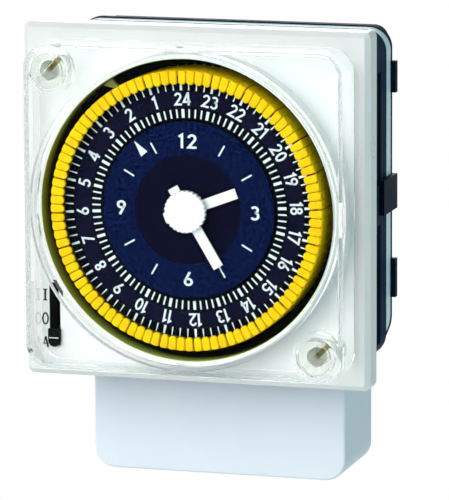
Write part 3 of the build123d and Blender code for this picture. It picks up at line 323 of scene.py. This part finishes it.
def paint_slot(skin):
    """Paints shade on the walls of the lever's slot, standing in for the dark where little light
    reaches.
    """
    tree = skin.node_tree
    axes = spot_axes(tree, (-1300, 1400))
    slot_middle, slot_reach = (slot_low + slot_high) / 2, (slot_high - slot_low) / 2
    limits = (
        ("X", slot_x, slot_half + slot_side_margin),
        ("Z", slot_middle, slot_reach + slot_end_margin),
        ("Y", 0.0, plate_out - slot_lip_margin),
    )
    inside = 1.0
    for row, (axis, middle, reach) in enumerate(limits):
        level = 1400 - 200 * row
        near = worked(tree, "COMPARE", (-900, level), axes[axis], middle, reach)
        inside = worked(tree, "MULTIPLY", (-600, level), inside, near)
    paint_over(skin, (-200, 900), inside, (*slot_painted_shade, 1))


paint_well(plate_skin)
paint_slot(plate_skin)
dress(plate_skin, "front_plate")

# Manual lever: the black slide at the lower left that picks off, on or automatic.
# It is moulded in one with its knob, and a white line is printed across the knob.
# Three black signs, pad printed on the plate beside the slot, name its places.
scene = bpy.context.scene
mm = 0.001
lever_black = (0.004, 0.006, 0.007)
lever_bloom = (0.009, 0.011, 0.012)
lever_skin = moulded(
    "lever_black_plastic", lever_black, lever_bloom, gloss=(0.3, 0.42), grain=0.08, shine=0.02
)
dress(lever_skin, "manual_lever")
plate_face = plate_out / mm
ink_film = (0.005, 0.03)
sharpest_mitre = 0.2


def ink(name, colour, bloom):
    """Pad printed ink: one dense colour with slight pinholes in its cover."""
    return moulded(
        name, colour, bloom, gloss=(0.4, 0.5), grain=0.05, grain_size=9000, patch_size=1400
    )


def ribbon_sides(points, width, closed):
    """The left and right edges of a stroke of even width along a line, with mitred corners."""
    count = len(points)
    left, right = [], []
    for i, (x, z) in enumerate(points):
        before = points[i - 1] if closed or i else None
        after = points[(i + 1) % count] if closed or i < count - 1 else None
        runs = []
        for start, end in ((before, (x, z)), ((x, z), after)):
            if start is not None and end is not None:
                length = hypot(end[0] - start[0], end[1] - start[1])
                runs.append(((end[0] - start[0]) / length, (end[1] - start[1]) / length))
        nx = -sum(run[1] for run in runs) / len(runs)
        nz = sum(run[0] for run in runs) / len(runs)
        size = max(nx * nx + nz * nz, sharpest_mitre)
        left.append((x + nx / size * width / 2, z + nz / size * width / 2))
        right.append((x - nx / size * width / 2, z - nz / size * width / 2))
    return left, right


def lay_strip(bm, left, right, face, closed=False, place=lambda point: point, film=ink_film):
    """One flat stroke as a closed film, from a little behind a face to a little in front of it."""
    back, front = face - film[0], face + film[1]
    rows = []
    for a, b in zip(left, right):
        row = []
        for point, out in ((a, front), (b, front), (b, back), (a, back)):
            x, z = place(point)
            row.append(bm.verts.new((x * mm, -out * mm, z * mm)))
        rows.append(row)
    pairs = list(zip(rows, rows[1:])) + ([(rows[-1], rows[0])] if closed else [])
    for one, two in pairs:
        for k in range(4):
            bm.faces.new((one[k], one[(k + 1) % 4], two[(k + 1) % 4], two[k]))
    if not closed:
        bm.faces.new(rows[0][::-1])
        bm.faces.new(rows[-1])


def finish_print(bm, name, skin, body):
    """Makes laid strokes into one printed piece that rides on a body."""
    bmesh.ops.recalc_face_normals(bm, faces=bm.faces)
    mesh = bpy.data.meshes.new(name)
    bm.to_mesh(mesh)
    bm.free()
    mesh.materials.append(skin)
    piece = bpy.data.objects.new(name, mesh)
    scene.collection.objects.link(piece)
    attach(piece, body)


def arc(x, z, rx, rz, start, end, steps):
    """Points round an ellipse, between two angles in degrees from the right."""
    turns = [radians(start + (end - start) * i / steps) for i in range(steps + 1)]
    return [(x + rx * cos(turn), z + rz * sin(turn)) for turn in turns]


def stroke(*points):
    """One pass of the pen along a line of points, from end to end."""
    return points, False


def loop(x, z, rx, rz, steps):
    """One pass of the pen round an ellipse, back to where it began."""
    return arc(x, z, rx, rz, 0, 360, steps)[:-1], True


sign_black, sign_bloom = (0.006, 0.007, 0.008), (0.014, 0.015, 0.016)
sign_x, on_z, off_z, auto_z = -31.78, -19.5, -24.4, -29.2
half_sign = 1.1
thin_line, thick_line, loop_line = 0.22, 0.42, 0.336
serif, loop_half, loop_over = 0.45, 0.56, 0.02
sign_strokes = (
    (on_z, thick_line, stroke((0, -half_sign), (0, half_sign))),
    (on_z, thin_line, stroke((-serif, -half_sign), (serif, -half_sign))),
    (on_z, thin_line, stroke((-serif, half_sign), (serif, half_sign))),
    (off_z, loop_line, loop(0, 0, loop_half, half_sign + loop_over, 32)),
    (auto_z, thin_line, stroke((-0.62, -half_sign), (-0.04, half_sign))),
    (auto_z, thick_line, stroke((0.52, -half_sign), (-0.04, half_sign))),
    (auto_z, thin_line, stroke((-0.4, -0.35), (0.36, -0.35))),
)
signs = bmesh.new()
for sign_z, width, (points, closed) in sign_strokes:
    placed = [(sign_x + x, sign_z + z) for x, z in points]
    lay_strip(signs, *ribbon_sides(placed, width, closed), plate_face, closed)
sign_ink = ink("sign_black_ink", sign_black, sign_bloom)
finish_print(signs, "lever_signs", sign_ink, "case")

line_white, line_bloom = (0.72, 0.76, 0.76), (0.82, 0.85, 0.85)
line_left, line_right, line_z = -30.75, -28.75, -28.15
half_line, line_film = 0.11, (0.02, 0.02)
knob_front = -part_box("manual_lever")[0].y / mm
knob_line = bmesh.new()
upper, lower = (
    [(line_left, line_z + edge), (line_right, line_z + edge)] for edge in (half_line, -half_line)
)
lay_strip(knob_line, upper, lower, knob_front, film=line_film)
line_ink = ink("knob_white_ink", line_white, line_bloom)
finish_print(knob_line, "lever_knob_line", line_ink, "lever")

# Dial drum: the dark blue day drum that turns once in twenty four hours with its trippers.
# It is one moulding, a shade darker within and outside the ring of hour numbers.
# Ticks for the quarters and the hour numbers are printed on it in white.
dial_navy = (0.0035, 0.0040, 0.0170)
dial_bloom = (0.0060, 0.0065, 0.0240)
dial_black = (0.0015, 0.0030, 0.0045)
number_ring_inner, number_ring_outer = 0.0206, 0.0240
band_blur = 0.00008
drum_skin = moulded(
    "drum_navy_plastic", dial_navy, dial_bloom, gloss=(0.38, 0.5), grain=0.06, shine=0.01
)


def band_by_radius(skin, edge, colour, ends=(0.0, 1.0)):
    """Gives the skin another colour outside a radius about the dial's axis."""
    tree = skin.node_tree
    radius = axis_radius(tree, (-1100, 560))
    band = grade(tree, (-380, 560), radius, edge - band_blur, edge + band_blur, *ends)
    paint_over(skin, (-200, 400), band, (*colour, 1))


def band_inside(skin, edge, colour):
    """Gives the skin another colour inside a radius about the dial's axis."""
    band_by_radius(skin, edge, colour, ends=(1.0, 0.0))


band_by_radius(drum_skin, number_ring_outer, dial_black)
band_inside(drum_skin, number_ring_inner, dial_black)
dress(drum_skin, "dial_drum")

dial_face, band_face = 34.67, 35.07
dial_turn = -3.2
print_white, print_bloom = (0.70, 0.81, 0.86), (0.79, 0.87, 0.91)
dial_ink = ink("dial_white_ink", print_white, print_bloom)


def on_dial(radius, turn):
    """A point at a radius of the dial, turned clockwise from the top in degrees."""
    return radius * sin(radians(turn)), radius * cos(radians(turn))


def lay_tick(bm, inner, outer, width, turn, face, outer_width=None):
    """One printed tick along a radius of the dial, which may taper to its outer end."""
    dx, dz = on_dial(1, turn)
    left, right = [], []
    for radius, across in ((inner, width / 2), (outer, (outer_width or width) / 2)):
        left.append((dx * radius - dz * across, dz * radius + dx * across))
        right.append((dx * radius + dz * across, dz * radius - dx * across))
    lay_strip(bm, left, right, face)


hours, quarters = 24, 96
inner_tick, outer_tick = (18.5, 20.25), (24.07, 25.8)
hour_tick_widths, quarter_tick_widths = (0.60, 0.52, 0.40), (0.32, 0.28, 0.16)
ticks = bmesh.new()
for n in range(quarters):
    turn = dial_turn - n * 360 / quarters
    inner_width, foot_width, tip_width = quarter_tick_widths if n % 4 else hour_tick_widths
    lay_tick(ticks, *inner_tick, inner_width, turn, dial_face)
    lay_tick(ticks, *outer_tick, foot_width, turn, band_face, tip_width)
finish_print(ticks, "dial_ticks", dial_ink, "drum")

pen = 0.155
half_pen = pen / 2
wide_digit, narrow_digit = 0.56, 0.30
digit_strokes = {
    "0": [loop(0.28, 0.5, 0.28 - half_pen, 0.5 - half_pen, 28)],
    "1": [stroke((0.02, 0.79), (0.215, 0.93), (0.215, 0.0))],
    "2": [
        stroke(*arc(0.28, 0.70, 0.20, 0.218, 172, -32, 18), (0.075, half_pen), (0.56, half_pen)),
    ],
    "3": [
        stroke(*arc(0.265, 0.728, 0.185, 0.19, 152, -90, 18)),
        stroke(*arc(0.265, 0.31, 0.215, 0.228, 90, -152, 20)),
    ],
    "4": [
        stroke((0.40, 0.96), (0.065, 0.27), (0.58, 0.27)),
        stroke((0.42, 1.0), (0.42, 0.0)),
    ],
    "5": [
        stroke(
            (0.50, 0.918), (0.185, 0.918), (0.125, 0.545),
            *arc(0.26, 0.325, 0.225, 0.243, 112, -150, 18),
        ),
    ],
    "6": [loop(0.28, 0.295, 0.205, 0.213, 26), stroke((0.375, 0.985), (0.098, 0.40))],
    "7": [stroke((0.03, 0.918), (0.50, 0.918), (0.17, 0.0))],
    "8": [loop(0.28, 0.745, 0.165, 0.172, 24), loop(0.28, 0.29, 0.198, 0.208, 26)],
    "9": [loop(0.28, 0.705, 0.205, 0.213, 26), stroke((0.185, 0.015), (0.462, 0.60))],
}


def lay_number(bm, number, height, centre, turn, face, gap=0.09, stretch=1.0):
    """Prints a number, drawn one high, with its middle at centre and its top towards turn."""
    widths = [narrow_digit if digit == "1" else wide_digit for digit in number]
    start = -(sum(widths) + gap * (len(number) - 1)) / 2
    ux, uz = on_dial(1, turn)
    for digit, width in zip(number, widths):

        def place(point, start=start):
            across, up = (start + point[0]) * height * stretch, (point[1] - 0.5) * height
            return centre[0] + across * uz + up * ux, centre[1] - across * ux + up * uz

        for points, closed in digit_strokes[digit]:
            lay_strip(bm, *ribbon_sides(points, pen, closed), face, closed, place)
        start += width + gap


hour_height, hour_radius, hour_stretch = 2.62, 22.28, 1.04
numbers = bmesh.new()
for hour in range(1, hours + 1):
    turn = dial_turn - hour * 360 / hours
    middle = on_dial(hour_radius, turn)
    lay_number(numbers, str(hour), hour_height, middle, turn, dial_face, stretch=hour_stretch)
finish_print(numbers, "dial_numbers", dial_ink, "drum")

# Trippers: ninety six yellow slides, one for each quarter of an hour, four to each hour's set.
# They are moulded in acetal, so a little light passes into each and warms its face.
# Each stands in its own slot of the drum and is pushed in by hand to set a switching time.
tripper_yellow = (0.94, 0.65, 0.003)
tripper_warm = (0.92, 0.53, 0.003)
glow_share, glow_reach, glow_depth = 0.5, (1.0, 0.6, 0.02), 0.0009
tripper_swell = 0.000015
weld_reach = 0.000002
tripper_skin = moulded(
    "tripper_yellow_acetal", tripper_yellow, tripper_warm,
    gloss=(0.3, 0.4), grain=0.04, patch_size=420, shine=0.06,
)
glow = tripper_skin.node_tree.nodes["Principled BSDF"].inputs
glow["Subsurface Weight"].default_value = glow_share
glow["Subsurface Radius"].default_value = glow_reach
glow["Subsurface Scale"].default_value = glow_depth


def ease_fit(name, ease):
    """Moves a piece's skin in by a hair, or out where ease is below nought."""
    weld = nodes[name].modifiers.new("weld", "WELD")
    weld.merge_threshold = weld_reach
    shift = nodes[name].modifiers.new("ease", "DISPLACE")
    shift.direction = "NORMAL"
    shift.mid_level = 0.0
    shift.strength = -ease


for hour in range(hours):
    tripper_set = "trippers_hour_%02d" % hour
    dress(tripper_skin, tripper_set)
    ease_fit(tripper_set, -tripper_swell)

# Clock face: the fixed blue disc in the middle of the dial, with a darker sunk centre.
# It is moulded in blue with a metallic fleck and sits on the fixed tube in front of the drum.
# A twelve hour clock and a pointer for the time of day are printed on it in white.
face_blue = (0.0007, 0.0018, 0.0160)
face_fleck = (0.0034, 0.0125, 0.0740)
centre_dark = (0.0024, 0.0028, 0.0145)
centre_radius, face_out = 11.03, 35.35
face_skin = moulded(
    "face_flecked_blue", face_blue, face_fleck, gloss=(0.36, 0.48), grain=0.12, grain_size=2600,
    patch_size=1500, patch_edge=(0.42, 0.60), shine=0.01,
)
band_inside(face_skin, centre_radius * mm, centre_dark)
dress(face_skin, "clock_face")

clock_tick, clock_tick_width = (12.9, 15.3), 0.32
clock_height, clock_radius, clock_gap, clock_stretch = 2.9, 13.9, 0.25, 1.16
clock_print = bmesh.new()
for hour in range(1, 13):
    turn = hour * 30
    if hour % 3:
        lay_tick(clock_print, *clock_tick, clock_tick_width, turn, face_out)
    else:
        lay_number(
            clock_print, str(hour), clock_height, on_dial(clock_radius, turn), 0, face_out,
            gap=clock_gap, stretch=clock_stretch,
        )
pointer, pointer_turn = (14.2, 17.45), -39.4
pointer_foot_width, pointer_tip_width = 1.68, 0.0504
lay_tick(clock_print, *pointer, pointer_foot_width, pointer_turn, face_out, pointer_tip_width)
finish_print(clock_print, "clock_print", dial_ink, "case")

# Hands and setting hub: two flat white hands and the notched white knob that sets the time.
# The hands are stamped aluminium with white paint, and the moulded knob presses on the arbor.
hand_white = (0.86, 0.88, 0.87)
hand_bloom = (0.91, 0.92, 0.91)
hand_skin = moulded("hand_white_paint", hand_white, hand_bloom, gloss=(0.34, 0.44), grain=0.05)
dress(hand_skin, "hour_hand", "minute_hand")
hub_skin = moulded("hub_white_plastic", hand_white, hand_bloom, gloss=(0.3, 0.4), grain=0.04)
dress(hub_skin, "setting_hub")

# Clear cover: the square window over the dial, one thick clear moulding with a ring wall.
# It is polished polycarbonate, held by two clear quarter turn screws at opposite corners.
# The screws' slots carry painted amber light, for light bent through the clear plastic, and their
# shanks are milky where they are threaded.
cover_tint, cover_shade = (0.985, 0.988, 0.988), (0.96, 0.968, 0.970)
cover_gloss = (0.01, 0.025)
clear_bend, clear_shine = 1.49, (0.03, 0.03, 0.03)
depth_tint, depth_density = (0.76, 0.83, 0.83), 38.0
haze_size, haze_detail, haze_edge = 240, 4, (0.4, 0.75)
wave_size, wave_strength, wave_depth = 70, 0.004, 0.0002
wall_pass, left_rim_pass, right_rim_pass = 0.96, 0.72, 0.45
rim_start, rim_end = 0.0323, 0.0325
cover_ease, screw_ease = 0.00003, 0.00004


def clear(name, tint, gloss, shade):
    """Clear moulded plastic with a slightly wavy skin, which lets lamps shine through it."""
    skin, tree, plastic = blank_skin(name)
    plastic.inputs["Base Color"].default_value = (*tint, 1)
    plastic.inputs["Transmission Weight"].default_value = 1.0
    plastic.inputs["IOR"].default_value = clear_bend
    plastic.inputs["Specular Tint"].default_value = (*clear_shine, 1)
    haze = cloud(tree, (-880, 0), haze_size, haze_detail)
    dull = grade(tree, (-640, 0), haze, *haze_edge, *gloss)
    tree.links.new(dull, plastic.inputs["Roughness"])
    roughen(tree, cloud(tree, (-880, -240), wave_size), wave_strength, wave_depth)

    form = node_of(tree, "NewGeometry", (-1100, 700))
    lean = node_of(tree, "SeparateXYZ", (-900, 700))
    tree.links.new(form.outputs["Normal"], lean.inputs["Vector"])
    flatness = worked(tree, "ABSOLUTE", (-700, 700), lean.outputs["Y"])
    pane = grade(tree, (-500, 700), flatness, 0.0, 1.0, wall_pass, 1.0)
    across = spot_axes(tree, (-900, 1000))["X"]
    left_rim = grade(tree, (-500, 1200), across, -rim_start, -rim_end, 1.0, left_rim_pass)
    right_rim = grade(tree, (-500, 960), across, rim_start, rim_end, 1.0, right_rim_pass)
    rims = worked(tree, "MULTIPLY", (-300, 1000), left_rim, right_rim)
    passed = worked(tree, "MULTIPLY", (-300, 760), pane, rims)
    rays = node_of(tree, "LightPath", (-420, 420))
    lamp = worked(tree, "MULTIPLY", (-200, 560), rays.outputs["Is Shadow Ray"], passed)

    through = node_of(tree, "BsdfTransparent", (0, -200))
    through.inputs["Color"].default_value = (*shade, 1)
    either = node_of(tree, "MixShader", (320, 0))
    depth = node_of(tree, "VolumeAbsorption", (0, -400))
    depth.inputs["Color"].default_value = (*depth_tint, 1)
    depth.inputs["Density"].default_value = depth_density
    result = tree.nodes["Material Output"].inputs
    tree.links.new(lamp, either.inputs["Fac"])
    tree.links.new(plastic.outputs["BSDF"], either.inputs[1])
    tree.links.new(through.outputs["BSDF"], either.inputs[2])
    tree.links.new(either.outputs["Shader"], result["Surface"])
    tree.links.new(depth.outputs["Volume"], result["Volume"])
    return skin


dress(clear("cover_clear_plastic", cover_tint, cover_gloss, cover_shade), "clear_cover")
ease_fit("clear_cover", cover_ease)

screw_tint, screw_shade = (0.95, 0.95, 0.92), (0.92, 0.93, 0.90)
screw_gloss = (0.01, 0.04)
screw_corner = 0.0276
cut_out, cut_half = 0.0396, 0.00053
# Painted light: the amber in each slot stands for light bent and reflected through the clear
# screw.
cut_painted_amber_light = (0.20, 0.155, 0.03)
cut_pale_end, cut_deep_end, cut_pale_share = -0.0012, 0.0008, 0.18
thread_out, thread_pass = 0.0386, 0.1


def screw_clear(name, x, z):
    """The clear skin of one screw, with painted amber light in its slot, which runs up to the
    right.
    """
    skin = clear(name, screw_tint, screw_gloss, screw_shade)
    tree = skin.node_tree
    plastic = tree.nodes["Principled BSDF"].inputs
    axes = spot_axes(tree, (-1300, 1200))
    across = worked(tree, "SUBTRACT", (-940, 1200), axes["X"], axes["Z"])
    in_cut = worked(tree, "COMPARE", (-760, 1200), across, x - z, cut_half * 2 ** 0.5)
    ahead = worked(tree, "LESS_THAN", (-760, 1000), axes["Y"], -cut_out)
    cut = worked(tree, "MULTIPLY", (-560, 1100), in_cut, ahead)
    along = worked(tree, "ADD", (-940, 1400), axes["X"], axes["Z"])
    deepen = grade(
        tree, (-760, 1400), along, x + z + cut_pale_end, x + z + cut_deep_end, cut_pale_share, 1.0,
        interpolation_type="SMOOTHSTEP",
    )
    amber = worked(tree, "MULTIPLY", (-460, 1300), cut, deepen)
    shade = node_of(tree, "Mix", (-360, 1100), data_type="RGBA")
    shade.inputs["A"].default_value = (*screw_tint, 1)
    shade.inputs["B"].default_value = (*cut_painted_amber_light, 1)
    tree.links.new(amber, shade.inputs["Factor"])
    tree.links.new(shade.outputs["Result"], plastic["Base Color"])
    thread = worked(tree, "GREATER_THAN", (-760, 800), axes["Y"], -thread_out)
    milky = grade(tree, (-560, 800), thread, 0.0, 1.0, 1.0, thread_pass)
    tree.links.new(milky, plastic["Transmission Weight"])
    return skin


for side, x, z in (("left", -screw_corner, screw_corner), ("right", screw_corner, -screw_corner)):
    dress(screw_clear(side + "_screw_clear_plastic", x, z), "cover_screw_" + side)
    ease_fit("cover_screw_" + side, screw_ease)

# Terminal cover: the pale hood below the face that hides the terminals and slides down to open.
# It is moulded in light grey blue plastic with a fine matt grain.
hood_pale = (0.82, 0.90, 0.99)
hood_bloom = (0.85, 0.92, 1.0)
hood_skin = moulded(
    "hood_pale_plastic", hood_pale, hood_bloom,
    gloss=(0.4, 0.52), grain=0.12, grain_size=3600, shine=0.06,
)
dress(hood_skin, "terminal_cover")

# Floor and light: a plain white table a little below the part and a soft light tent round it.
# The tent shows white to the lens, to gloss and to glass, and gives the part a quieter cool light.
# Four softboxes stand round the part: a key at the upper left, one right, one low, one behind.
white = (1, 1, 1, 1)
tent_cool, tent_strength = (0.86, 0.97, 1.0, 1), 0.18
floor_drop, floor_radius, floor_sides = 0.150, 0.5, 96
floor_white, floor_bloom = (0.88, 0.89, 0.89), (0.90, 0.91, 0.91)
fade_near, fade_far, shown_near = 0.1, floor_radius * 0.95, 0.80
light_bounces, clear_layers = 24, 40
scene.cycles.max_bounces = light_bounces
scene.cycles.glossy_bounces = light_bounces
scene.cycles.transmission_bounces = light_bounces
scene.cycles.transparent_max_bounces = clear_layers
scene.view_settings.view_transform = "Standard"


def seen_straight(tree):
    """One where lens, gloss or clear plastic looks at a surface, nought after a matt bounce."""
    rays = node_of(tree, "LightPath", (-1100, 500)).outputs
    shiny = worked(
        tree, "MAXIMUM", (-900, 500), rays["Is Glossy Ray"], rays["Is Transmission Ray"]
    )
    straight = worked(tree, "MAXIMUM", (-700, 500), rays["Is Camera Ray"], shiny)
    fresh = worked(tree, "LESS_THAN", (-500, 300), rays["Diffuse Depth"], 0.5)
    return worked(tree, "MULTIPLY", (-300, 500), straight, fresh)


def show_by(tree, share, plain, shown, result):
    """Ends a sheet of nodes with a plain shader and, by a share, a shown one over it."""
    choice = node_of(tree, "MixShader", (300, -100))
    tree.links.new(share, choice.inputs["Fac"])
    tree.links.new(plain, choice.inputs[1])
    tree.links.new(shown, choice.inputs[2])
    tree.links.new(choice.outputs["Shader"], tree.nodes[result].inputs["Surface"])


tent = bpy.data.worlds.new("light_tent")
scene.world = tent
tent.use_nodes = True
sky = tent.node_tree
cool = sky.nodes["Background"]
cool.inputs["Color"].default_value = tent_cool
cool.inputs["Strength"].default_value = tent_strength
bright = node_of(sky, "Background", (0, -200))
bright.inputs["Color"].default_value = white
bright.inputs["Strength"].default_value = 1.0
show_by(
    sky, seen_straight(sky), cool.outputs["Background"], bright.outputs["Background"],
    "World Output",
)

sheet = bmesh.new()
bmesh.ops.create_circle(sheet, cap_ends=True, segments=floor_sides, radius=floor_radius)
bmesh.ops.translate(sheet, verts=sheet.verts, vec=(0, 0, cad_low.z - floor_drop))
floor_mesh = bpy.data.meshes.new("floor")
sheet.to_mesh(floor_mesh)
sheet.free()
floor = bpy.data.objects.new("floor", floor_mesh)
scene.collection.objects.link(floor)
floor_skin = moulded(
    "floor_white_paper", floor_white, floor_bloom, gloss=(0.85, 0.95), grain=0.02, patch_size=8
)
floor_mesh.materials.append(floor_skin)
paper = floor_skin.node_tree
lit = node_of(paper, "Emission", (0, -300))
lit.inputs["Color"].default_value = white
lit.inputs["Strength"].default_value = 1.0
floor_spot = node_of(paper, "TexCoord", (-900, -600))
away = node_of(paper, "VectorMath", (-700, -600), operation="LENGTH")
paper.links.new(floor_spot.outputs["Object"], away.inputs[0])
fade = grade(paper, (-500, -600), away.outputs["Value"], fade_near, fade_far, shown_near, 1.0)
share = worked(paper, "MULTIPLY", (-100, -600), fade, seen_straight(paper))
show_by(
    paper, share, paper.nodes["Principled BSDF"].outputs["BSDF"], lit.outputs["Emission"],
    "Material Output",
)


def softbox(name, place, side, power, colour):
    """A square lamp with a diffuser, turned to the middle of the part's front."""
    lamp = bpy.data.lights.new(name, "AREA")
    lamp.shape = "RECTANGLE"
    lamp.size, lamp.size_y = side, side
    lamp.energy = power
    lamp.color = colour
    holder = bpy.data.objects.new(name, lamp)
    holder.location = place
    holder.rotation_mode = "QUATERNION"
    holder.rotation_quaternion = (lamp_aim - Vector(place)).to_track_quat("-Z", "Y")
    scene.collection.objects.link(holder)


lamp_aim = Vector((0.0, -0.03, -0.005))
softbox("key_softbox", (-0.60, -1.25, 0.60), 1.4, 20.2, (1.0, 0.985, 0.965))
softbox("side_softbox", (1.2, -0.35, 0.25), 0.8, 3.5, (0.60, 1.0, 1.0))
softbox("low_softbox", (-0.15, -1.05, -0.70), 0.8, 4.0, (0.62, 0.85, 1.0))
softbox("back_softbox", (-0.5, 1.2, 0.55), 0.9, 9.0, (1.0, 0.99, 0.97))

# Camera: a long lens a little to the right of the part and above it, as the photograph was taken.
# Its three axes and its place come from the corners of plate and cover, fitted to the picture.
lens_right = Vector((0.95738689, 0.28876563, -0.00497591))
lens_up = Vector((-0.04679031, 0.17208618, 0.98397003))
lens_back = Vector((0.28499301, -0.94180718, 0.17826449))
lens_place = Vector((0.27651, -0.92456, 0.16056))
focal_pixels, frame_pixels, sensor = 4748.71, 500, 36.0
camera = bpy.data.cameras.new("camera")
camera.sensor_width = sensor
camera.lens = focal_pixels * sensor / frame_pixels
camera.clip_start, camera.clip_end = 0.05, 30.0
viewer = bpy.data.objects.new("camera", camera)
lens_columns = (lens_right, lens_up, lens_back, lens_place)
viewer.matrix_world = Matrix(
    [[column[i] for column in lens_columns] for i in range(3)] + [[0, 0, 0, 1]]
)
scene.collection.objects.link(viewer)
scene.camera = viewer
